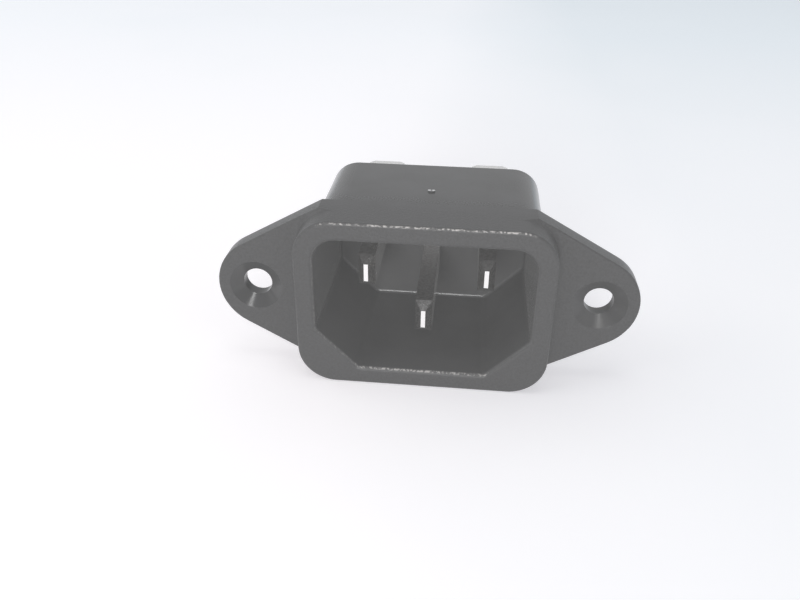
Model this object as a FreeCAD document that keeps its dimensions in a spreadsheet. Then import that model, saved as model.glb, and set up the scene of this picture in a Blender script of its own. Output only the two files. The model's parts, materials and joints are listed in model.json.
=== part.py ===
import FreeCAD, Part
import math
import os

import Sketcher
from FreeCAD import Placement, Rotation, Vector

# A three-pin appliance inlet (C14 pattern) for screwing to a panel.
#
# One moulding carries everything: a flange with two tapering ears, a collar that stands
# out in front of it, and a body that reaches back through the panel's cut-out. A keyed
# cavity runs from the collar's rim to a thin rear wall. Three stamped contacts pass
# through that wall: each is a blade in the cavity, a strap bent up against the wall's
# back, and a flat tab for a push-on wire terminal.
#
# Frame: the panel's front face is the plane y = 0, the inlet faces -Y, +Z is up and +X
# is to the right as the user sees it. The origin lies midway between the two screws.

# Each line is a name, a value (mm, or degrees for an angle) and what it measures.
SIZES = (
    ("screw_spacing", 40.0, "the two fixing screws, centre to centre"),
    ("screw_hole_diameter", 3.4, "clearance for an M3 screw"),
    ("countersink_diameter", 6.3, "countersink at the ear's front face"),
    ("countersink_angle", 110.0, "countersink, full angle"),
    ("flange_thickness", 2.4, "ears, front to back"),
    ("ear_overhang", 4.5, "screw centre to the ear's tip"),
    ("ear_tip_radius", 5.85, "rounded end of each ear"),
    ("ear_slope", 29.3, "each ear's straight edges, from the level"),
    ("ear_edge_radius", 0.25, "front edge all round each ear"),
    ("opening_width", 24.5, "cavity, left to right"),
    ("opening_height", 16.3, "cavity, top to bottom"),
    ("opening_corner_radius", 2.6, "cavity's two upper corners"),
    ("key_chamfer", 4.9, "keying slope across each lower corner, along either side"),
    ("key_corner_radius", 1.2, "ends of the keying slopes"),
    ("mouth_edge_radius", 0.5, "cavity's edge at the rim"),
    ("floor_edge_radius", 0.4, "cavity's edge at the rear wall"),
    ("rim_width", 2.25, "collar's wall, all round the opening"),
    ("collar_projection", 6.2, "rim in front of the panel"),
    ("collar_corner_radius", 4.4, "collar's four corners"),
    ("collar_foot_radius", 0.8, "hollow curve where the collar meets the ears"),
    ("rim_edge_radius", 0.35, "collar's outer edge at the rim"),
    ("body_side_wall", 1.0, "body's wall, left and right of the cavity"),
    ("body_top_wall", 1.75, "body's wall, above and below the cavity"),
    ("body_depth", 13.7, "body behind the panel's front face"),
    ("body_corner_radius", 3.5, "body's four corners"),
    ("body_edge_radius", 0.4, "body's rear edge"),
    ("rear_wall", 1.9, "wall that the contacts pass through"),
    ("gate_diameter", 0.9, "moulding gate's mark on the body's top"),
    ("gate_height", 0.15, "how far the gate's mark stands up"),
    ("gate_setback", 4.9, "gate's mark behind the panel's front face"),
    ("pin_pitch", 14.0, "line and neutral pins, centre to centre"),
    ("pin_row_offset", 2.0, "pin rows above and below the cavity's middle"),
    ("line_pin_recess", 4.7, "line and neutral tips behind the rim"),
    ("earth_pin_lead", 3.0, "earth tip ahead of the other two"),
    ("blade_thickness", 2.0, "blade, left to right"),
    ("blade_height", 4.0, "blade, top to bottom"),
    ("tip_length", 1.0, "bevelled end of the blade"),
    ("tip_thickness", 0.5, "flat left at the blade's end, left to right"),
    ("tip_height", 2.2, "flat left at the blade's end, top to bottom"),
    ("slot_clearance", 0.02, "rear wall's slot round each blade, per side"),
    ("tab_width", 4.8, "terminal tab and strap"),
    ("tab_thickness", 0.8, "terminal tab and strap"),
    ("tab_length", 7.5, "terminal tab behind the rear wall"),
    ("tab_rise", 5.0, "blade's middle to the tab's middle"),
    ("bend_radius", 0.5, "inside of the bend from strap to tab"),
    ("tab_corner", 0.85, "bevel across each corner of the tab's end"),
    ("tab_lead_in", 0.2, "thinned edge of the tab's end"),
    ("tab_hole_diameter", 1.4, "detent hole in the tab"),
    ("tab_hole_setback", 3.0, "detent hole in front of the tab's end"),
    ("strap_corner_radius", 0.8, "strap's two lower corners"),
)

# Sizes that follow from those above, as formulas on the sheet.
COLLAR_WIDTH = "sizes.opening_width + 2 * sizes.rim_width"
COLLAR_HEIGHT = "sizes.opening_height + 2 * sizes.rim_width"
BODY_WIDTH = "sizes.opening_width + 2 * sizes.body_side_wall"
BODY_HEIGHT = "sizes.opening_height + 2 * sizes.body_top_wall"
CAVITY_DEPTH = "sizes.collar_projection + sizes.body_depth - sizes.rear_wall"
FLANGE_LENGTH = "sizes.screw_spacing + 2 * sizes.ear_overhang"
PLATE_MARGIN = "4 * sizes.collar_foot_radius"
LINE_TIP = "sizes.collar_projection - sizes.line_pin_recess"
EARTH_TIP = "sizes.collar_projection - sizes.line_pin_recess + sizes.earth_pin_lead"

TOLERANCE = 1e-4

doc = FreeCAD.newDocument("c14_panel_inlet")
sheet = doc.addObject("Spreadsheet::Sheet", "sizes")
for row, (alias, value, meaning) in enumerate(SIZES, start=1):
    sheet.set("A%d" % row, meaning)
    sheet.set("B%d" % row, str(value))
    sheet.setAlias("B%d" % row, alias)
doc.recompute()


def size(formula):
    """The present value of a formula on the sheet."""
    return float(sheet.evalExpression(formula))


# ---------------------------------------------------------------- sketching

def new_sketch(body, name, plane, forward=None):
    """A sketch on one of the body's own planes, moved along the plane's normal."""
    sketch = body.newObject("Sketcher::SketchObject", name)
    origin_plane = [item for item in body.Origin.OriginFeatures if item.Role == plane][0]
    sketch.AttachmentSupport = [(origin_plane, "")]
    sketch.MapMode = "FlatFace"
    if forward:
        sketch.setExpression("AttachmentOffset.Base.z", forward)
    return sketch


def dimension(sketch, kind, places, name, formula):
    """A named dimension of the sketch that follows the sheet."""
    index = sketch.addConstraint(Sketcher.Constraint(kind, *places, size(formula)))
    sketch.renameConstraint(index, name)
    sketch.setExpression("Constraints." + name, formula)


def slope(sketch, line, name, formula):
    """A named angle between a line and the level."""
    index = sketch.addConstraint(Sketcher.Constraint("Angle", line, math.radians(size(formula))))
    sketch.renameConstraint(index, name)
    sketch.setExpression("Constraints." + name, "(%s) * 1 deg" % formula)


def relate(sketch, kind, *places):
    sketch.addConstraint(Sketcher.Constraint(kind, *places))


def add_polygon(sketch, points):
    """A closed outline of straight lines; returns the lines' numbers."""
    corners = [Vector(across, up, 0) for across, up in points]
    lines = []
    for here, there in zip(corners, corners[1:] + corners[:1]):
        lines.append(sketch.addGeometry(Part.LineSegment(here, there), False))
    for line, following in zip(lines, lines[1:] + lines[:1]):
        relate(sketch, "Coincident", line, 2, following, 1)
    return lines


def add_rectangle(sketch, width, height, name):
    """A rectangle centred on the sketch's origin."""
    right = size(width) / 2
    top = size(height) / 2
    lines = add_polygon(sketch, [(right, top), (-right, top), (-right, -top), (right, -top)])
    relate(sketch, "Symmetric", lines[0], 1, lines[0], 2, -2)
    relate(sketch, "Symmetric", lines[2], 1, lines[2], 2, -2)
    relate(sketch, "Symmetric", lines[3], 1, lines[3], 2, -1)
    dimension(sketch, "DistanceX", (lines[0], 2, lines[0], 1), name + "_width", width)
    dimension(sketch, "DistanceY", (lines[3], 1, lines[3], 2), name + "_height", height)


def add_slot(sketch, name, side, row):
    """A blade's slot: side is -1, 0 or 1 along X, row is -1 or 1 along Z."""
    width = "sizes.blade_thickness + 2 * sizes.slot_clearance"
    height = "sizes.blade_height + 2 * sizes.slot_clearance"
    middle_x = side * size("sizes.pin_pitch / 2")
    middle_z = row * size("sizes.pin_row_offset")
    half_x = size(width) / 2
    half_z = size(height) / 2
    left, right = middle_x - half_x, middle_x + half_x
    low, high = middle_z - half_z, middle_z + half_z
    lines = add_polygon(sketch, [(left, high), (left, low), (right, low), (right, high)])
    centre = sketch.addGeometry(Part.Point(Vector(middle_x, middle_z, 0)), True)
    relate(sketch, "Vertical", lines[0])
    relate(sketch, "Horizontal", lines[1])
    relate(sketch, "Vertical", lines[2])
    relate(sketch, "Horizontal", lines[3])
    relate(sketch, "Symmetric", lines[0], 1, lines[1], 2, centre, 1)
    dimension(sketch, "DistanceX", (lines[1], 1, lines[1], 2), name + "_width", width)
    dimension(sketch, "DistanceY", (lines[0], 2, lines[0], 1), name + "_height", height)
    origin = (-1, 1)
    if side == 0:
        relate(sketch, "PointOnObject", centre, 1, -2)
    else:
        ends = origin + (centre, 1) if side > 0 else (centre, 1) + origin
        dimension(sketch, "DistanceX", ends, name + "_across", "sizes.pin_pitch / 2")
    ends = origin + (centre, 1) if row > 0 else (centre, 1) + origin
    dimension(sketch, "DistanceY", ends, name + "_up", "sizes.pin_row_offset")


def add_circle(sketch, name, across, up, diameter):
    """A circle on one of the sketch's axes, at a formula's distance from the origin."""
    places = {"x": size(across) if across else 0.0, "y": size(up) if up else 0.0}
    radius = size(diameter) / 2
    centre = Vector(places["x"], places["y"], 0)
    circle = sketch.addGeometry(Part.Circle(centre, Vector(0, 0, 1), radius), False)
    dimension(sketch, "Diameter", (circle,), name + "_diameter", diameter)
    if across:
        relate(sketch, "PointOnObject", circle, 3, -1)
        dimension(sketch, "DistanceX", (-1, 1, circle, 3), name + "_across", across)
    else:
        relate(sketch, "PointOnObject", circle, 3, -2)
        dimension(sketch, "DistanceY", (-1, 1, circle, 3), name + "_up", up)
    return circle


def add_rounded_rectangle(sketch, width, height, radius):
    """A rectangle with round corners, centred on the sketch's origin."""
    corner = size(radius)
    reach_x = size(width) / 2 - corner
    reach_z = size(height) / 2 - corner
    arcs = []
    for number, (side, level) in enumerate(((1, 1), (-1, 1), (-1, -1), (1, -1))):
        start = number * math.pi / 2
        circle = Part.Circle(Vector(side * reach_x, level * reach_z, 0), Vector(0, 0, 1), corner)
        arcs.append(sketch.addGeometry(Part.ArcOfCircle(circle, start, start + math.pi / 2), False))
    lines = []
    for arc, following in zip(arcs, arcs[1:] + arcs[:1]):
        start = sketch.getPoint(arc, 2)
        end = sketch.getPoint(following, 1)
        line = sketch.addGeometry(Part.LineSegment(start, end), False)
        relate(sketch, "Tangent", arc, 2, line, 1)
        relate(sketch, "Tangent", line, 2, following, 1)
        lines.append(line)
    top, left, bottom, right = lines
    relate(sketch, "Horizontal", top)
    relate(sketch, "Horizontal", bottom)
    relate(sketch, "Vertical", left)
    relate(sketch, "Vertical", right)
    for arc in arcs[1:]:
        relate(sketch, "Equal", arcs[0], arc)
    relate(sketch, "Symmetric", arcs[0], 3, arcs[2], 3, -1, 1)
    dimension(sketch, "Radius", (arcs[0],), "corner", radius)
    dimension(sketch, "DistanceX", (left, 1, right, 1), "width", width)
    dimension(sketch, "DistanceY", (bottom, 1, top, 1), "height", height)


def add_flange_outline(sketch):
    """The flange: flush with the collar above and below, tapering to two round tips."""
    tilt = math.radians(size("sizes.ear_slope"))
    tip = size("sizes.ear_tip_radius")
    middle = size(FLANGE_LENGTH) / 2 - tip
    top = size(COLLAR_HEIGHT) / 2
    touch = Vector(middle + tip * math.sin(tilt), tip * math.cos(tilt), 0)
    knee = touch.x - (top - touch.y) / math.tan(tilt)
    axis = Vector(0, 0, 1)
    sweep = math.pi / 2 - tilt

    def line(start, end):
        return sketch.addGeometry(Part.LineSegment(Vector(*start, 0), Vector(*end, 0)), False)

    def arc(centre, start):
        circle = Part.Circle(Vector(centre, 0, 0), axis, tip)
        return sketch.addGeometry(Part.ArcOfCircle(circle, start, start + 2 * sweep), False)

    right_tip = arc(middle, -sweep)
    upper_right = line((touch.x, touch.y), (knee, top))
    upper = line((knee, top), (-knee, top))
    upper_left = line((-knee, top), (-touch.x, touch.y))
    left_tip = arc(-middle, math.pi - sweep)
    lower_left = line((-touch.x, -touch.y), (-knee, -top))
    lower = line((-knee, -top), (knee, -top))
    lower_right = line((knee, -top), (touch.x, -touch.y))

    relate(sketch, "Tangent", right_tip, 2, upper_right, 1)
    relate(sketch, "Coincident", upper_right, 2, upper, 1)
    relate(sketch, "Coincident", upper, 2, upper_left, 1)
    relate(sketch, "Tangent", upper_left, 2, left_tip, 1)
    relate(sketch, "Tangent", left_tip, 2, lower_left, 1)
    relate(sketch, "Coincident", lower_left, 2, lower, 1)
    relate(sketch, "Coincident", lower, 2, lower_right, 1)
    relate(sketch, "Tangent", lower_right, 2, right_tip, 1)
    relate(sketch, "Symmetric", upper, 1, upper, 2, -2)
    relate(sketch, "Symmetric", lower, 1, lower, 2, -2)
    relate(sketch, "Symmetric", upper, 1, lower, 2, -1)
    relate(sketch, "Equal", right_tip, left_tip)
    relate(sketch, "PointOnObject", right_tip, 3, -1)
    relate(sketch, "Symmetric", right_tip, 3, left_tip, 3, -2)
    dimension(sketch, "Radius", (right_tip,), "tip_radius", "sizes.ear_tip_radius")
    reach = "(%s) / 2 - sizes.ear_tip_radius" % FLANGE_LENGTH
    dimension(sketch, "DistanceX", (-1, 1, right_tip, 3), "tip_centre", reach)
    dimension(sketch, "DistanceY", (lower, 2, upper, 1), "flush_height", COLLAR_HEIGHT)
    slope(sketch, lower_right, "ear_slope", "sizes.ear_slope")


def add_opening_outline(sketch):
    """The keyed opening: square above, with a slope across each lower corner."""
    right = size("sizes.opening_width") / 2
    top = size("sizes.opening_height") / 2
    key = size("sizes.key_chamfer")
    lines = add_polygon(sketch, [
        (right, top), (-right, top), (-right, key - top),
        (key - right, -top), (right - key, -top), (right, key - top),
    ])
    upper, left, left_key, bottom, right_key, side = lines
    relate(sketch, "Symmetric", upper, 1, upper, 2, -2)
    relate(sketch, "Symmetric", bottom, 1, bottom, 2, -2)
    relate(sketch, "Symmetric", side, 1, left, 2, -2)
    relate(sketch, "Vertical", side)
    dimension(sketch, "DistanceX", (upper, 2, upper, 1), "width", "sizes.opening_width")
    dimension(sketch, "DistanceY", (-1, 1, upper, 1), "top", "sizes.opening_height / 2")
    dimension(sketch, "DistanceY", (bottom, 1, -1, 1), "bottom", "sizes.opening_height / 2")
    dimension(sketch, "DistanceX", (bottom, 2, side, 1), "key_across", "sizes.key_chamfer")
    dimension(sketch, "DistanceY", (bottom, 2, side, 1), "key_up", "sizes.key_chamfer")


def add_strap_outline(sketch):
    """The strap and tab from the side: up the rear wall, then straight back."""
    near = size("sizes.body_depth")
    far = near + size("sizes.tab_thickness")
    end = near + size("sizes.tab_length")
    low = -size("sizes.blade_height") / 2
    top = size("sizes.tab_rise + sizes.tab_thickness / 2")
    under = size("sizes.tab_rise - sizes.tab_thickness / 2")
    lines = add_polygon(sketch, [
        (near, low), (near, top), (end, top), (end, under), (far, under), (far, low),
    ])
    front, upper, tip, lower, back, foot = lines
    for upright in (front, tip, back):
        relate(sketch, "Vertical", upright)
    for level in (upper, lower, foot):
        relate(sketch, "Horizontal", level)
    dimension(sketch, "DistanceX", (-1, 1, front, 1), "seat", "sizes.body_depth")
    dimension(sketch, "DistanceX", (foot, 2, foot, 1), "strap_thickness", "sizes.tab_thickness")
    dimension(sketch, "DistanceX", (upper, 1, upper, 2), "tab_length", "sizes.tab_length")
    dimension(sketch, "DistanceY", (tip, 2, tip, 1), "tab_thickness", "sizes.tab_thickness")
    dimension(sketch, "DistanceY", (front, 1, -1, 1), "foot_depth", "sizes.blade_height / 2")
    rise = "sizes.tab_rise - sizes.tab_thickness / 2"
    dimension(sketch, "DistanceY", (-1, 1, tip, 2), "tab_underside", rise)


# ----------------------------------------------------------------- features

def finish(body, feature):
    """Recompute and make the feature the body's latest shape."""
    body.Tip = feature
    doc.recompute()
    return feature


def pad(body, name, sketch, length, backward=False, centred=False):
    feature = body.newObject("PartDesign::Pad", name)
    feature.Profile = sketch
    feature.setExpression("Length", length)
    feature.Reversed = backward
    feature.Midplane = centred
    return finish(body, feature)


def pocket(body, name, sketch, length=None, forward=False, centred=False):
    """Cut the sketch's outline away, to a depth or right through."""
    before = body.Shape.Volume
    feature = body.newObject("PartDesign::Pocket", name)
    feature.Profile = sketch
    feature.Reversed = forward
    feature.Midplane = centred
    if length:
        feature.setExpression("Length", length)
    else:
        feature.Type = "ThroughAll"
    finish(body, feature)
    if body.Shape.Volume > before - TOLERANCE:
        raise RuntimeError(name + " removes nothing")
    return feature


def edges(shape, wanted):
    """Names of the edges whose start, middle and end all pass the test."""
    names = []
    for number, edge in enumerate(shape.Edges, start=1):
        first, last = edge.ParameterRange
        samples = [edge.valueAt(first + share * (last - first)) for share in (0.0, 0.5, 1.0)]
        if all(wanted(point) for point in samples):
            names.append("Edge%d" % number)
    if not names:
        raise RuntimeError("no edge to dress")
    return names


def round_edges(body, name, radius, wanted):
    base = body.Tip
    feature = body.newObject("PartDesign::Fillet", name)
    feature.Base = (base, edges(base.Shape, wanted))
    feature.setExpression("Radius", radius)
    return finish(body, feature)


def bevel_edges(body, name, length, wanted):
    base = body.Tip
    feature = body.newObject("PartDesign::Chamfer", name)
    feature.Base = (base, edges(base.Shape, wanted))
    feature.setExpression("Size", length)
    return finish(body, feature)


def same(one, other):
    return abs(one - other) < TOLERANCE


# ------------------------------------------------------------------ housing

def shape_flange_and_collar(body):
    """The ears' plate and the collar, joined by a hollow curve and cut to outline."""
    sketch = new_sketch(body, "plate_outline", "XZ_Plane")
    plate_height = "%s + %s" % (COLLAR_HEIGHT, PLATE_MARGIN)
    add_rectangle(sketch, "%s + %s" % (FLANGE_LENGTH, PLATE_MARGIN), plate_height, "plate")
    pad(body, "plate", sketch, "sizes.flange_thickness")

    sketch = new_sketch(body, "collar_outline", "XZ_Plane")
    add_rounded_rectangle(sketch, COLLAR_WIDTH, COLLAR_HEIGHT, "sizes.collar_corner_radius")
    pad(body, "collar", sketch, "sizes.collar_projection")

    half_width = size(COLLAR_WIDTH) / 2 + TOLERANCE
    half_height = size(COLLAR_HEIGHT) / 2 + TOLERANCE
    ear_front = -size("sizes.flange_thickness")
    rim = -size("sizes.collar_projection")

    def at_foot(point):
        inside = abs(point.x) < half_width and abs(point.z) < half_height
        return same(point.y, ear_front) and inside

    round_edges(body, "collar_foot", "sizes.collar_foot_radius", at_foot)
    round_edges(body, "rim_edge", "sizes.rim_edge_radius", lambda point: same(point.y, rim))

    sketch = new_sketch(body, "flange_outline", "XZ_Plane")
    surround = "2 * (%s)" % PLATE_MARGIN
    tall = "%s + %s" % (COLLAR_HEIGHT, surround)
    add_rectangle(sketch, "%s + %s" % (FLANGE_LENGTH, surround), tall, "surround")
    add_flange_outline(sketch)
    pocket(body, "flange_trim", sketch, forward=True)

    def ear_edge(point):
        return same(point.y, ear_front) and abs(point.x) > half_width

    round_edges(body, "ear_edge", "sizes.ear_edge_radius", ear_edge)


def shape_rear_body(body):
    sketch = new_sketch(body, "body_outline", "XZ_Plane")
    add_rounded_rectangle(sketch, BODY_WIDTH, BODY_HEIGHT, "sizes.body_corner_radius")
    pad(body, "rear_body", sketch, "sizes.body_depth", backward=True)
    rear = size("sizes.body_depth")
    round_edges(body, "rear_edge", "sizes.body_edge_radius", lambda point: same(point.y, rear))

    sketch = new_sketch(body, "gate_outline", "XY_Plane", "(%s) / 2" % BODY_HEIGHT)
    add_circle(sketch, "gate", None, "sizes.gate_setback", "sizes.gate_diameter")
    pad(body, "gate_mark", sketch, "sizes.gate_height")


def shape_cavity(body):
    """The keyed cavity, with round corners and softened edges at its mouth and floor."""
    sketch = new_sketch(body, "opening_outline", "XZ_Plane", "sizes.collar_projection")
    add_opening_outline(sketch)
    pocket(body, "cavity", sketch, CAVITY_DEPTH)

    side = size("sizes.opening_width") / 2
    top = size("sizes.opening_height") / 2
    slope_sum = side + top - size("sizes.key_chamfer")
    rim = -size("sizes.collar_projection")
    floor = rim + size(CAVITY_DEPTH)

    def within(point):
        return abs(point.x) < side + TOLERANCE and abs(point.z) < top + TOLERANCE

    def at_upper_corner(point):
        return same(abs(point.x), side) and same(point.z, top)

    def at_key_end(point):
        on_slope = same(abs(point.x) - point.z, slope_sum)
        return on_slope and (same(abs(point.x), side) or same(point.z, -top))

    def at_mouth(point):
        return same(point.y, rim) and within(point)

    def at_floor(point):
        return same(point.y, floor) and within(point)

    round_edges(body, "upper_corners", "sizes.opening_corner_radius", at_upper_corner)
    round_edges(body, "key_corners", "sizes.key_corner_radius", at_key_end)
    round_edges(body, "mouth_edge", "sizes.mouth_edge_radius", at_mouth)
    round_edges(body, "floor_edge", "sizes.floor_edge_radius", at_floor)


def shape_holes(body):
    """The blades' slots in the rear wall and the countersunk screw holes in the ears."""
    sketch = new_sketch(body, "slot_outlines", "XZ_Plane")
    add_slot(sketch, "line", 1, 1)
    add_slot(sketch, "neutral", -1, 1)
    add_slot(sketch, "earth", 0, -1)
    pocket(body, "blade_slots", sketch)

    sketch = new_sketch(body, "screw_centres", "XZ_Plane", "sizes.flange_thickness")
    right = add_circle(sketch, "screw", "sizes.screw_spacing / 2", None, "sizes.screw_hole_diameter")
    centre = Vector(-size("sizes.screw_spacing") / 2, 0, 0)
    radius = size("sizes.screw_hole_diameter") / 2
    left = sketch.addGeometry(Part.Circle(centre, Vector(0, 0, 1), radius), False)
    relate(sketch, "Symmetric", right, 3, left, 3, -2)
    relate(sketch, "Equal", right, left)
    doc.recompute()
    hole = body.newObject("PartDesign::Hole", "screw_holes")
    hole.Profile = sketch
    hole.Threaded = False
    hole.ThreadType = "None"
    hole.DepthType = "ThroughAll"
    hole.HoleCutType = "Countersink"
    hole.HoleCutCustomValues = True
    hole.setExpression("Diameter", "sizes.screw_hole_diameter")
    hole.setExpression("HoleCutDiameter", "sizes.countersink_diameter")
    hole.setExpression("HoleCutCountersinkAngle", "sizes.countersink_angle")
    finish(body, hole)


def make_housing():
    body = doc.addObject("PartDesign::Body", "housing")
    shape_flange_and_collar(body)
    shape_rear_body(body)
    shape_cavity(body)
    shape_holes(body)
    return body


# ----------------------------------------------------------------- contacts

def make_contact(name, tip, side, row):
    """One stamped contact, with its blade's tip a formula's distance in front of y = 0.

    It is drawn with the blade's middle on the Y axis and the tab above it. The lower
    row's contact is the same stamping turned over, so that its tab lies below.
    """
    body = doc.addObject("PartDesign::Body", name)

    flat = new_sketch(body, name + "_tip_flat", "XZ_Plane", tip)
    add_rectangle(flat, "sizes.tip_thickness", "sizes.tip_height", "flat")
    shoulder = new_sketch(body, name + "_blade", "XZ_Plane", "%s - sizes.tip_length" % tip)
    add_rectangle(shoulder, "sizes.blade_thickness", "sizes.blade_height", "blade")
    doc.recompute()
    bevel = body.newObject("PartDesign::AdditiveLoft", name + "_bevelled_tip")
    bevel.Profile = flat
    bevel.Sections = [shoulder]
    bevel.Ruled = True
    finish(body, bevel)

    blade_length = "%s - sizes.tip_length + sizes.body_depth + sizes.tab_thickness" % tip
    pad(body, name + "_shank", shoulder, blade_length, backward=True)

    side_view = new_sketch(body, name + "_strap", "YZ_Plane")
    add_strap_outline(side_view)
    pad(body, name + "_strap_and_tab", side_view, "sizes.tab_width", centred=True)

    wall_back = size("sizes.body_depth")
    tab_top = size("sizes.tab_rise + sizes.tab_thickness / 2")
    tab_under = size("sizes.tab_rise - sizes.tab_thickness / 2")
    strap_back = wall_back + size("sizes.tab_thickness")
    tab_end = wall_back + size("sizes.tab_length")
    half_width = size("sizes.tab_width") / 2
    foot = -size("sizes.blade_height") / 2

    def outside_bend(point):
        return same(point.y, wall_back) and same(point.z, tab_top)

    def inside_bend(point):
        return same(point.y, strap_back) and same(point.z, tab_under)

    def tab_corner(point):
        return same(point.y, tab_end) and same(abs(point.x), half_width)

    def strap_corner(point):
        return same(point.z, foot) and same(abs(point.x), half_width)

    def tab_end_edge(point):
        on_face = same(point.z, tab_top) or same(point.z, tab_under)
        return same(point.y, tab_end) and on_face

    outer_radius = "sizes.bend_radius + sizes.tab_thickness"
    round_edges(body, name + "_outside_bend", outer_radius, outside_bend)
    round_edges(body, name + "_inside_bend", "sizes.bend_radius", inside_bend)
    round_edges(body, name + "_strap_corners", "sizes.strap_corner_radius", strap_corner)
    bevel_edges(body, name + "_tab_corners", "sizes.tab_corner", tab_corner)
    bevel_edges(body, name + "_lead_in", "sizes.tab_lead_in", tab_end_edge)

    plan = new_sketch(body, name + "_detent", "XY_Plane", "sizes.tab_rise")
    hole_place = "sizes.body_depth + sizes.tab_length - sizes.tab_hole_setback"
    add_circle(plan, "detent", None, hole_place, "sizes.tab_hole_diameter")
    pocket(body, name + "_detent_hole", plan, "2 * sizes.tab_thickness", centred=True)

    place_x = side * size("sizes.pin_pitch / 2")
    place_z = row * size("sizes.pin_row_offset")
    turn = Rotation(Vector(0, 1, 0), 0 if row > 0 else 180)
    body.Placement = Placement(Vector(place_x, 0, place_z), turn)
    body.setExpression("Placement.Base.x", "%d * sizes.pin_pitch / 2" % side)
    body.setExpression("Placement.Base.z", "%d * sizes.pin_row_offset" % row)
    return body


# Seen from the front with the earth pin below, line is on the right.
sub_parts = [
    make_housing(),
    make_contact("line_pin", LINE_TIP, 1, 1),
    make_contact("neutral_pin", LINE_TIP, -1, 1),
    make_contact("earth_pin", EARTH_TIP, 0, -1),
]
doc.recompute()

for item in doc.Objects:
    if "Invalid" in item.State or "Error" in item.State:
        raise RuntimeError("%s failed: %s" % (item.Name, item.State))
for item in sub_parts:
    if item.Shape.isNull() or not item.Shape.isValid() or len(item.Shape.Solids) != 1:
        raise RuntimeError("%s is not one sound solid" % item.Label)

os.makedirs("parts", exist_ok=True)
for item in sub_parts:
    item.Shape.exportStep("parts/%s.step" % item.Label)
    box = item.Shape.BoundBox
    print("%-12s %9.2f mm3  x %.2f..%.2f  y %.2f..%.2f  z %.2f..%.2f" % (
        item.Label, item.Shape.Volume, box.XMin, box.XMax, box.YMin, box.YMax, box.ZMin, box.ZMax))
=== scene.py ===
import json
import math

import bpy
from mathutils import Matrix, Vector


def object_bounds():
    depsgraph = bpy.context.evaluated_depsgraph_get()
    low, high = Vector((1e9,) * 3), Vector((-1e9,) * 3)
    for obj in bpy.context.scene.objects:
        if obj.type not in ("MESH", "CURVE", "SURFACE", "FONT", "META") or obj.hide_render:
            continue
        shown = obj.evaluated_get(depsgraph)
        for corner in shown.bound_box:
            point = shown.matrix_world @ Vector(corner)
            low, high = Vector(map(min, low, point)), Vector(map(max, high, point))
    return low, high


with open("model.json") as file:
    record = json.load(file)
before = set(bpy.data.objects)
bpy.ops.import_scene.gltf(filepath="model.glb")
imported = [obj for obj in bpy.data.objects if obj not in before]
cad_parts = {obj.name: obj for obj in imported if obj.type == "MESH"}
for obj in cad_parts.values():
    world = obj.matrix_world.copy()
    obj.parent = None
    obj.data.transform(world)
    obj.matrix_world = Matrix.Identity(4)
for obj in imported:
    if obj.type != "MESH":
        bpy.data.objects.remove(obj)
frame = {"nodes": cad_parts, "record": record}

# A three-pin appliance inlet for a panel: a moulded black housing with three plated
# contacts. The CAD model has every shape. This script gives the shapes their materials,
# and adds the floor, the lamps and the camera. Metres, +Z up, the front faces -Y, and
# the origin is midway between the screws, in the plane of the panel's front face.

MM = 0.001
CAD_LOW, CAD_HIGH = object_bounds()


# ------------------------------------------------------------ node helpers

def new_material(name):
    """A material with an empty node tree; returns the material and its tree."""
    material = bpy.data.materials.new(name)
    material.use_nodes = True
    material.node_tree.nodes.clear()
    return material, material.node_tree


def add_node(tree, kind, inputs=None, **settings):
    """Adds a node. An input, by name or number, gets a node's output or a plain value."""
    node = tree.nodes.new(kind)
    for name, value in settings.items():
        setattr(node, name, value)
    for name, source in (inputs or {}).items():
        if isinstance(source, bpy.types.NodeSocket):
            tree.links.new(source, node.inputs[name])
        else:
            node.inputs[name].default_value = source
    return node


def opaque(red, green, blue):
    """A plain colour, as a colour socket takes it."""
    return (red, green, blue, 1.0)


def object_point(tree):
    """The surface point in the part's own frame, in metres."""
    return add_node(tree, "ShaderNodeTexCoord").outputs["Object"]


def along(tree, vector, axis):
    """One coordinate of a vector: X, Y or Z."""
    return add_node(tree, "ShaderNodeSeparateXYZ", {"Vector": vector}).outputs[axis]


def maths(tree, operation, *values, clamp=False):
    """The result of one operation on its values; clamp keeps it between 0 and 1."""
    node = add_node(tree, "ShaderNodeMath", dict(enumerate(values)),
                    operation=operation, use_clamp=clamp)
    return node.outputs["Value"]


def length(tree, across, up):
    """The length of a flat vector."""
    squares = [maths(tree, "MULTIPLY", side, side) for side in (across, up)]
    return maths(tree, "SQRT", maths(tree, "ADD", *squares))


def remap(tree, value, band, ends):
    """The first end up to the band, the second past it, and a straight line between."""
    node = add_node(tree, "ShaderNodeMapRange", {
        "Value": value, "From Min": band[0], "From Max": band[1],
        "To Min": ends[0], "To Max": ends[1]})
    return node.outputs["Result"]


def fade_in(tree, value, band):
    """0 up to the band and 1 past it."""
    return remap(tree, value, band, (0.0, 1.0))


def fade_out(tree, value, band):
    """1 up to the band and 0 past it."""
    return remap(tree, value, band, (1.0, 0.0))


def from_share(tree, share, ends):
    """A number that goes from the first end to the second as the share goes from 0 to 1."""
    return remap(tree, share, (0.0, 1.0), ends)


def blend(tree, share, first, second):
    """A number that goes from the first to the second as the share goes from 0 to 1."""
    sockets = {0: share, 2: first, 3: second}  # the mix node's factor and two numbers
    return add_node(tree, "ShaderNodeMix", sockets, data_type="FLOAT").outputs[0]


def mix_colour(tree, share, first, second, way="MIX"):
    """A colour that goes from the first to the second as the share goes from 0 to 1, or
    with the way SUBTRACT, from the first to the first less the second."""
    sockets = {0: share, 6: first, 7: second}  # the mix node's factor and two colours
    return add_node(tree, "ShaderNodeMix", sockets, data_type="RGBA", blend_type=way).outputs[2]


NOISE_SPREAD = (0.3, 0.7)  # most of a noise's values lie in this band
SOFT_DETAIL = 2.0  # how many finer copies of itself a noise takes in
FINE_DETAIL = 3.0


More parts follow.
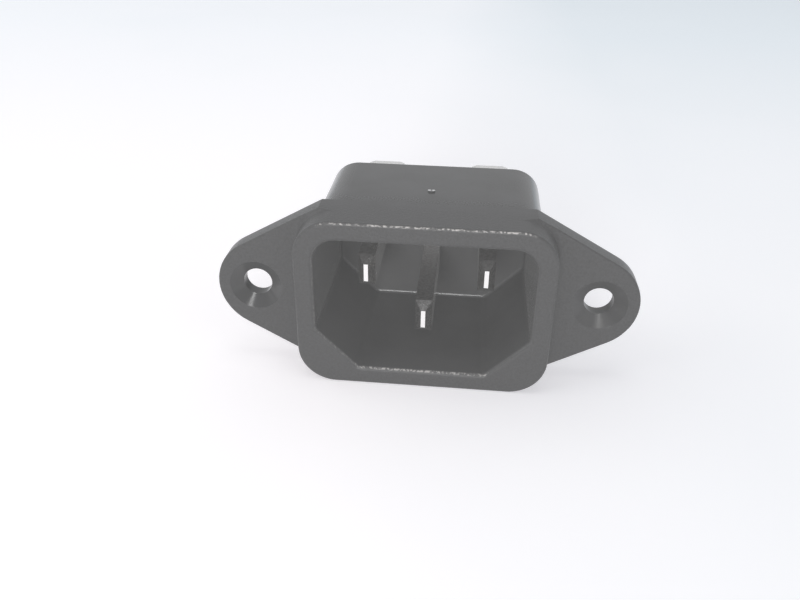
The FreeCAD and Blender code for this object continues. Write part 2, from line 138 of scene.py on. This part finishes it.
def noise(tree, point, size, detail=SOFT_DETAIL, ragged=0.5):
    """Random values about 0.5, with features of a given size in metres."""
    node = add_node(tree, "ShaderNodeTexNoise", {
        "Vector": point, "Scale": 1.0 / size, "Detail": detail, "Roughness": ragged})
    return node.outputs["Fac"]


def patches(tree, point, size, ragged=0.5):
    """A fine noise drawn out so that it goes from 0 to 1."""
    return fade_in(tree, noise(tree, point, size, FINE_DETAIL, ragged), NOISE_SPREAD)


def bump(tree, height, depth):
    """A surface normal that follows a relief; its depth is in metres."""
    node = add_node(tree, "ShaderNodeBump", {"Height": height, "Distance": depth, "Strength": 1.0})
    return node.outputs["Normal"]


def output(tree, shader):
    """Ends a material's tree with the node that shows its shader."""
    add_node(tree, "ShaderNodeOutputMaterial", {"Surface": shader})


# ------------------------------------------------------- sizes of the part

SCREWS = next(mount for mount in frame["record"]["mounts"] if mount["name"] == "panel_screws")
SCREW_OFFSET = SCREWS["dims"]["spacing_x_mm"] / 2 * MM
COUNTERSINK_RADIUS = 3.15 * MM
OPENING_HALF = (12.25 * MM, 8.15 * MM)
OPENING_CORNER = 2.6 * MM
KEY_CHAMFER = 4.9 * MM
RIM_WIDTH = 2.25 * MM
COLLAR_HALF = (OPENING_HALF[0] + RIM_WIDTH, OPENING_HALF[1] + RIM_WIDTH)
COLLAR_CORNER = 4.4 * MM
RIM_PLANE = CAD_LOW.y
GATE_TOP = Vector((0.0, 4.9 * MM, 10.05 * MM))  # the middle of the gate mark's top
DIAGONAL = math.sqrt(0.5)  # the sine and the cosine of 45 degrees


def past_outline(tree, x, z, half, corner):
    """How far a point lies outside an upright rectangle with rounded corners."""
    over = [maths(tree, "SUBTRACT", maths(tree, "ABSOLUTE", place), side - corner)
            for place, side in ((x, half[0]), (z, half[1]))]
    reach = length(tree, *(maths(tree, "MAXIMUM", part, 0.0) for part in over))
    return maths(tree, "SUBTRACT", reach, corner)


def past_mouth(tree, x, z):
    """How far a point lies outside the opening; the keying slopes cut its lower corners.
    Like the outline, it is the same at every depth, from the rim to the rear face."""
    past_sides = past_outline(tree, x, z, OPENING_HALF, OPENING_CORNER)
    slope_reach = (OPENING_HALF[0] + OPENING_HALF[1] - KEY_CHAMFER) * DIAGONAL
    outward = maths(tree, "SUBTRACT", maths(tree, "ABSOLUTE", x), z)
    outward = maths(tree, "MULTIPLY", outward, DIAGONAL)
    past_slope = maths(tree, "SUBTRACT", outward, slope_reach)
    return maths(tree, "MAXIMUM", past_sides, past_slope)


def from_screw(tree, x, z):
    """How far a point lies from the middle line of the nearer screw hole."""
    return length(tree, maths(tree, "SUBTRACT", maths(tree, "ABSOLUTE", x), SCREW_OFFSET), z)


# ----------------------------------------------------------------- plastic
# A band is where a change starts and where it ends.

PAINTED_GLOW = opaque(0.054, 0.054, 0.054)  # painted light: an even glow on the part's surfaces, standing in for the veil of light that overexposure lays over everything

DARK_PLASTIC = opaque(0.049, 0.049, 0.049)
LIGHT_PLASTIC = opaque(0.067, 0.067, 0.069)
# painted light: a lighter colour inside the cavity, against the shade that falls in it
CAVITY_PAINTED_LIGHT = opaque(0.090, 0.090, 0.091)
# painted highlight, with some wear: a light colour along the collar's top front edge and the
# mouth's edges, where the lamps' highlight lies
EDGE_HIGHLIGHT_AND_WEAR = opaque(0.50, 0.48, 0.465)
# painted highlight: two light spots on the gate's stub
GATE_HIGHLIGHT_PLASTIC = opaque(0.60, 0.60, 0.61)

GRAIN_SIZE = 0.26 * MM
GRAIN_RAGGED = 0.6
GRAIN_DEPTH = 0.024 * MM
CLOUD_SIZE = 5.0 * MM
CAVITY_LIGHT_SHARE = (0.7, 1.0)  # of the cavity's painted light, from cloud to cloud
GRAINED_ROUGHNESS = (0.32, 0.48)
POLISHED_ROUGHNESS = (0.16, 0.22)
PLASTIC_SPECULAR = 0.35

CAVITY_BAND = (0.05 * MM, 0.25 * MM)  # past the opening
CONE_BAND = (COUNTERSINK_RADIUS - 0.08 * MM, COUNTERSINK_RADIUS)  # from a hole's middle line
GRAIN_STOP = (-2.3 * MM, -0.3 * MM)  # along Y, over the flange's edge
GLOSS_START = (-2.0 * MM, 5.0 * MM)  # along Y
RIGHT_SIDE = (0.0, 1.0 * MM)  # along X
RIGHT_CONE_DULLING = 0.12  # added to the roughness of the right screw's countersink

# Bands of the painted highlight and wear on the rim's edges:
HIGHLIGHT_SIDE = (-0.25 * MM, -0.15 * MM)  # past the collar's outline
HIGHLIGHT_FRONT = (RIM_PLANE + 0.09 * MM, RIM_PLANE + 0.21 * MM)  # along Y
HIGHLIGHT_TOP = (9.0 * MM, 9.6 * MM)  # along Z
HIGHLIGHT_TOP_END = (10.8 * MM, 11.8 * MM)  # from the middle, to the left and right
HIGHLIGHT_MOUTH_START = (0.01 * MM, 0.06 * MM)  # past the opening
HIGHLIGHT_MOUTH_END = (0.13 * MM, 0.24 * MM)  # past the opening
MOUTH_BOTTOM = (-8.2 * MM, -7.7 * MM)  # along Z
BOTTOM_HIGHLIGHT = 0.75
MOUTH_ACROSS = (-6.0 * MM, 6.0 * MM)  # along X
MOUTH_HIGHLIGHT = (0.13, 0.01)  # of the rest of the mouth's edge, from left to right
SPECK_SIZE = 0.30 * MM
SPECK_SPREAD = (0.45, 0.60)
SPECK_SHARE = (0.07, 1.0)  # of the painted highlight and wear that shows, between the specks and on them

GATE_SPOT_OFFSET = 0.24 * MM
GATE_SPOT_BAND = (0.12 * MM, 0.26 * MM)  # from a spot's middle


def rim_highlight_and_wear(tree, x, y, z, outside):
    """Where the painted highlight and wear lie: 1 along the collar's top front edge, less along
    the mouth's bottom edge and little along the rest of the mouth, whose band also marks the rear
    face."""
    past_collar = past_outline(tree, x, z, COLLAR_HALF, COLLAR_CORNER)
    on_edge = maths(tree, "MULTIPLY", fade_in(tree, past_collar, HIGHLIGHT_SIDE),
                    fade_out(tree, y, HIGHLIGHT_FRONT))
    on_top = maths(tree, "MULTIPLY", fade_in(tree, z, HIGHLIGHT_TOP),
                   fade_out(tree, maths(tree, "ABSOLUTE", x), HIGHLIGHT_TOP_END))
    on_mouth = maths(tree, "MULTIPLY", fade_in(tree, outside, HIGHLIGHT_MOUTH_START),
                     fade_out(tree, outside, HIGHLIGHT_MOUTH_END))
    elsewhere = remap(tree, x, MOUTH_ACROSS, MOUTH_HIGHLIGHT)
    mouth_highlight = blend(tree, fade_out(tree, z, MOUTH_BOTTOM), elsewhere, BOTTOM_HIGHLIGHT)
    return maths(tree, "MAXIMUM", maths(tree, "MULTIPLY", on_edge, on_top),
                 maths(tree, "MULTIPLY", on_mouth, mouth_highlight))


def gate_highlight_spots(tree, point):
    """1 on two spots of the gate's stub on the body's top, where a highlight is painted."""
    spots = []
    for side in (-1, 1):
        place = GATE_TOP + Vector((side * GATE_SPOT_OFFSET, 0.0, 0.0))
        away = add_node(tree, "ShaderNodeVectorMath", {0: point, 1: place}, operation="DISTANCE")
        spots.append(fade_out(tree, away.outputs["Value"], GATE_SPOT_BAND))
    return maths(tree, "MAXIMUM", *spots)


def moulded_plastic():
    """Black plastic: a spark-eroded grain in front, polished behind and in the cavity."""
    material, tree = new_material("moulded_plastic")
    point = object_point(tree)
    x, y, z = (along(tree, point, axis) for axis in "XYZ")
    outside = past_mouth(tree, x, z)
    cavity = fade_out(tree, outside, CAVITY_BAND)
    cone = fade_out(tree, from_screw(tree, x, z), CONE_BAND)
    smooth = maths(tree, "MAXIMUM", cavity, cone)
    flat = maths(tree, "MAXIMUM", smooth, fade_in(tree, y, GRAIN_STOP))
    glossy = maths(tree, "MAXIMUM", smooth, fade_in(tree, y, GLOSS_START))
    grain = patches(tree, point, GRAIN_SIZE, GRAIN_RAGGED)
    cloud = patches(tree, point, CLOUD_SIZE)

    colour = mix_colour(tree, blend(tree, flat, grain, cloud), DARK_PLASTIC, LIGHT_PLASTIC)
    # painted light: the plastic is made lighter inside the cavity, where shade falls
    cavity_light = maths(tree, "MULTIPLY", cavity, from_share(tree, cloud, CAVITY_LIGHT_SHARE))
    colour = mix_colour(tree, cavity_light, colour, CAVITY_PAINTED_LIGHT)
    specks = remap(tree, noise(tree, point, SPECK_SIZE), SPECK_SPREAD, SPECK_SHARE)
    # painted highlight, with some wear, in specks along the collar's top edge and the mouth
    highlight_and_wear = maths(tree, "MULTIPLY", rim_highlight_and_wear(tree, x, y, z, outside), specks)
    colour = mix_colour(tree, highlight_and_wear, colour, EDGE_HIGHLIGHT_AND_WEAR)
    # painted highlight on the gate's stub
    colour = mix_colour(tree, gate_highlight_spots(tree, point), colour, GATE_HIGHLIGHT_PLASTIC)

    grained = from_share(tree, grain, GRAINED_ROUGHNESS)
    polished = from_share(tree, cloud, POLISHED_ROUGHNESS)
    dulling = remap(tree, x, RIGHT_SIDE, (0.0, RIGHT_CONE_DULLING))
    rough = maths(tree, "ADD", blend(tree, glossy, grained, polished),
                  maths(tree, "MULTIPLY", cone, dulling))
    relief = maths(tree, "MULTIPLY", maths(tree, "SUBTRACT", grain, 0.5),
                   maths(tree, "SUBTRACT", 1.0, flat))
    shader = add_node(tree, "ShaderNodeBsdfPrincipled", {
        "Base Color": colour, "Roughness": rough, "Specular IOR Level": PLASTIC_SPECULAR,
        "Normal": bump(tree, relief, GRAIN_DEPTH),
        # painted light: the plastic glows evenly
        "Emission Color": PAINTED_GLOW, "Emission Strength": 1.0})
    output(tree, shader.outputs["BSDF"])
    return material


# ------------------------------------------------------------------- metal

SHADED_BLADE_METAL = (opaque(0.60, 0.595, 0.59), opaque(0.42, 0.405, 0.40))  # clean and stained, darker as painted shade of the cavity the blades stand in
LIT_TAB_METAL = (opaque(0.92, 0.91, 0.90), opaque(0.82, 0.81, 0.80))  # clean and stained, lighter as painted light on the tabs outside the cavity
# painted light: a lighter colour on the blades' ends, which face the front
LIT_END_METAL = opaque(0.93, 0.92, 0.91)
# painted light: the share of the even glow that the metal gets
METAL_PAINTED_GLOW_STRENGTH = 0.90
METAL_ROUGHNESS = (0.16, 0.28)
SMEAR_SIZE = 1.6 * MM
STAIN_SIZE = 0.35 * MM
STAIN_RAGGED = 0.65
STAIN_DEPTH = 0.008 * MM
STAIN_SPREAD = (0.42, 0.60)
TAB_START = (10.0 * MM, 13.0 * MM)  # along Y, from just before the rear wall into it
FRONT_FACING = (-0.95, -0.90)  # the normal's Y, which is -1 on the blades' cut ends


def nickel_plate():
    """Nickel over brass, stained at random: darker on the blades, lighter on the tabs and on the
    blades' cut ends, which face the front; this is painted shade in the cavity and painted light
    outside it.
    """
    material, tree = new_material("nickel_plate")
    point = object_point(tree)
    facing = along(tree, add_node(tree, "ShaderNodeNewGeometry").outputs["Normal"], "Y")
    mottle = noise(tree, point, STAIN_SIZE, FINE_DETAIL, STAIN_RAGGED)
    stain = fade_in(tree, mottle, STAIN_SPREAD)
    blade = mix_colour(tree, stain, *SHADED_BLADE_METAL)
    tab = mix_colour(tree, stain, *LIT_TAB_METAL)
    # painted shade and light: darker blades in the cavity, lighter tabs behind it
    colour = mix_colour(tree, fade_in(tree, along(tree, point, "Y"), TAB_START), blade, tab)
    # painted light: the blades' front ends are lighter
    colour = mix_colour(tree, fade_out(tree, facing, FRONT_FACING), colour, LIT_END_METAL)
    smear = noise(tree, point, SMEAR_SIZE, FINE_DETAIL)
    shader = add_node(tree, "ShaderNodeBsdfPrincipled", {
        "Base Color": colour, "Metallic": 1.0,
        "Roughness": remap(tree, smear, NOISE_SPREAD, METAL_ROUGHNESS),
        "Normal": bump(tree, mottle, STAIN_DEPTH),
        # painted light: the metal glows evenly
        "Emission Color": PAINTED_GLOW, "Emission Strength": METAL_PAINTED_GLOW_STRENGTH})
    output(tree, shader.outputs["BSDF"])
    return material


def set_material(node_name, material):
    """Gives a CAD node one material in place of those that it came with."""
    slots = frame["nodes"][node_name].data.materials
    slots.clear()
    slots.append(material)


set_material("housing", moulded_plastic())
NICKEL = nickel_plate()
for contact in ("line_pin", "neutral_pin", "earth_pin"):
    set_material(contact, NICKEL)


# ------------------------------------------------------------------- floor
# Light bounces off PAPER. The camera and reflections see SHADED_PAPER and a glow on it, which is
# uneven and has painted shade that dims it a little to the right and to the rear.

FLOOR_HALF = 2.0
PAPER = opaque(0.86, 0.86, 0.87)
SHADED_PAPER = opaque(0.80, 0.80, 0.80)
PAPER_GLOW = opaque(0.378, 0.358, 0.378)
RIGHTWARD_PAINTED_SHADE = opaque(0.118, 0.090, 0.082)
REARWARD_PAINTED_SHADE = opaque(0.058, 0.016, 0.0)
RIGHTWARD = (-0.01, 0.04)  # along X
REARWARD = (0.02, 0.20)  # along Y
UNEVEN_SIZE = 0.06
UNEVEN_SPREAD = (0.35, 0.65)
UNEVEN_SHIFT = (-0.08, 0.08)


def floor_material():
    """Pale paper: it keeps a soft shadow, and the camera and reflections see it near white."""
    material, tree = new_material("pale_floor")
    point = object_point(tree)
    shift = remap(tree, noise(tree, point, UNEVEN_SIZE), UNEVEN_SPREAD, UNEVEN_SHIFT)
    rightward = fade_in(tree, along(tree, point, "X"), RIGHTWARD)
    rightward = maths(tree, "ADD", rightward, shift, clamp=True)
    rearward = fade_in(tree, along(tree, point, "Y"), REARWARD)
    # painted shade: the glow dims to the right and to the rear
    tint = mix_colour(tree, rightward, PAPER_GLOW, RIGHTWARD_PAINTED_SHADE, "SUBTRACT")
    tint = mix_colour(tree, rearward, tint, REARWARD_PAINTED_SHADE, "SUBTRACT")
    ray = add_node(tree, "ShaderNodeLightPath").outputs
    seen = maths(tree, "MAXIMUM", ray["Is Camera Ray"], ray["Is Glossy Ray"])
    seen = maths(tree, "MAXIMUM", seen, ray["Is Transmission Ray"])
    paper = add_node(tree, "ShaderNodeBsdfDiffuse", {"Color": PAPER})
    shaded = add_node(tree, "ShaderNodeBsdfDiffuse", {"Color": SHADED_PAPER})
    glow = add_node(tree, "ShaderNodeEmission", {"Color": tint, "Strength": 1.0})
    bright = add_node(tree, "ShaderNodeAddShader", {0: shaded.outputs[0], 1: glow.outputs[0]})
    both = add_node(tree, "ShaderNodeMixShader", {
        0: seen, 1: paper.outputs[0], 2: bright.outputs[0]})
    output(tree, both.outputs[0])
    return material


def make_floor():
    """A wide sheet of paper under the part, level with its lowest point."""
    mesh = bpy.data.meshes.new("floor")
    corners = [(right * FLOOR_HALF, rear * FLOOR_HALF, CAD_LOW.z)
               for right, rear in ((-1, -1), (1, -1), (1, 1), (-1, 1))]
    mesh.from_pydata(corners, [], [(0, 1, 2, 3)])
    mesh.materials.append(floor_material())
    floor = bpy.data.objects.new("floor", mesh)
    bpy.context.scene.collection.objects.link(floor)


# -------------------------------------------------------- light and camera

LAMP_DISTANCE = 0.80

# Each lamp's name, azimuth and elevation in degrees, width in metres and power in watts.
LAMPS = (
    ("key", 6.0, 38.0, 0.14, 0.85),
    ("front", -5.0, 12.5, 0.26, 3.3),
    ("overhead", 0.0, 86.0, 0.35, 0.6),
    ("window", -85.0, 34.0, 0.80, 2.0),
    ("fill", 58.0, 30.0, 0.60, 0.8),
)

WORLD_COLOUR = opaque(0.97, 0.98, 1.0)
WORLD_STRENGTH = (0.20, 0.66)  # in front and behind
WORLD_BAND = (-0.2, 0.6)  # along Y of the direction looked in

CAMERA_AIM = Vector((-3.11, 0.0, -2.28)) * MM
CAMERA_DISTANCE = 91.1 * MM
CAMERA_AZIMUTH = 5.50
CAMERA_ELEVATION = 30.73
CAMERA_ROLL = 0.62
SENSOR_WIDTH = 36.0  # millimetres, as is the focal length
FOCAL_LENGTH = 33.98
NEAREST_SEEN = 0.001
FARTHEST_SEEN = 20.0


def direction(azimuth, elevation):
    """A unit vector from the part; azimuth is from the front towards the right, in degrees."""
    azimuth, elevation = math.radians(azimuth), math.radians(elevation)
    level = math.cos(elevation)
    return Vector((math.sin(azimuth) * level, -math.cos(azimuth) * level, math.sin(elevation)))


def area_light(name, azimuth, elevation, width, power):
    """A soft square lamp that faces the part."""
    lamp = bpy.data.lights.new(name, "AREA")
    lamp.size = width
    lamp.energy = power
    light = bpy.data.objects.new(name, lamp)
    away = direction(azimuth, elevation)
    light.location = away * LAMP_DISTANCE
    light.rotation_mode = "QUATERNION"
    light.rotation_quaternion = (-away).to_track_quat("-Z", "Y")
    bpy.context.scene.collection.objects.link(light)


def make_world():
    """Soft light from all round, dimmer from the front; the camera sees it near white."""
    world = bpy.data.worlds.new("studio")
    world.use_nodes = True
    tree = world.node_tree
    toward = add_node(tree, "ShaderNodeTexCoord").outputs["Generated"]
    glow = remap(tree, along(tree, toward, "Y"), WORLD_BAND, WORLD_STRENGTH)
    seen = add_node(tree, "ShaderNodeLightPath").outputs["Is Camera Ray"]
    background = tree.nodes["Background"]
    background.inputs["Color"].default_value = WORLD_COLOUR
    tree.links.new(maths(tree, "MAXIMUM", glow, seen), background.inputs["Strength"])
    bpy.context.scene.world = world


def make_camera():
    """In front of the part, above it and a little to its right."""
    back = direction(CAMERA_AZIMUTH, CAMERA_ELEVATION)
    camera = bpy.data.objects.new("camera", bpy.data.cameras.new("camera"))
    camera.data.sensor_width = SENSOR_WIDTH
    camera.data.lens = FOCAL_LENGTH
    camera.data.clip_start = NEAREST_SEEN
    camera.data.clip_end = FARTHEST_SEEN
    roll = Matrix.Rotation(math.radians(CAMERA_ROLL), 3, "Z")
    turn = (-back).to_track_quat("-Z", "Y").to_matrix() @ roll
    camera.matrix_world = Matrix.Translation(CAMERA_AIM + back * CAMERA_DISTANCE) @ turn.to_4x4()
    bpy.context.scene.collection.objects.link(camera)
    bpy.context.scene.camera = camera


make_floor()
make_world()
for lamp_values in LAMPS:
    area_light(*lamp_values)
make_camera()
bpy.context.scene.view_settings.view_transform = "Standard"
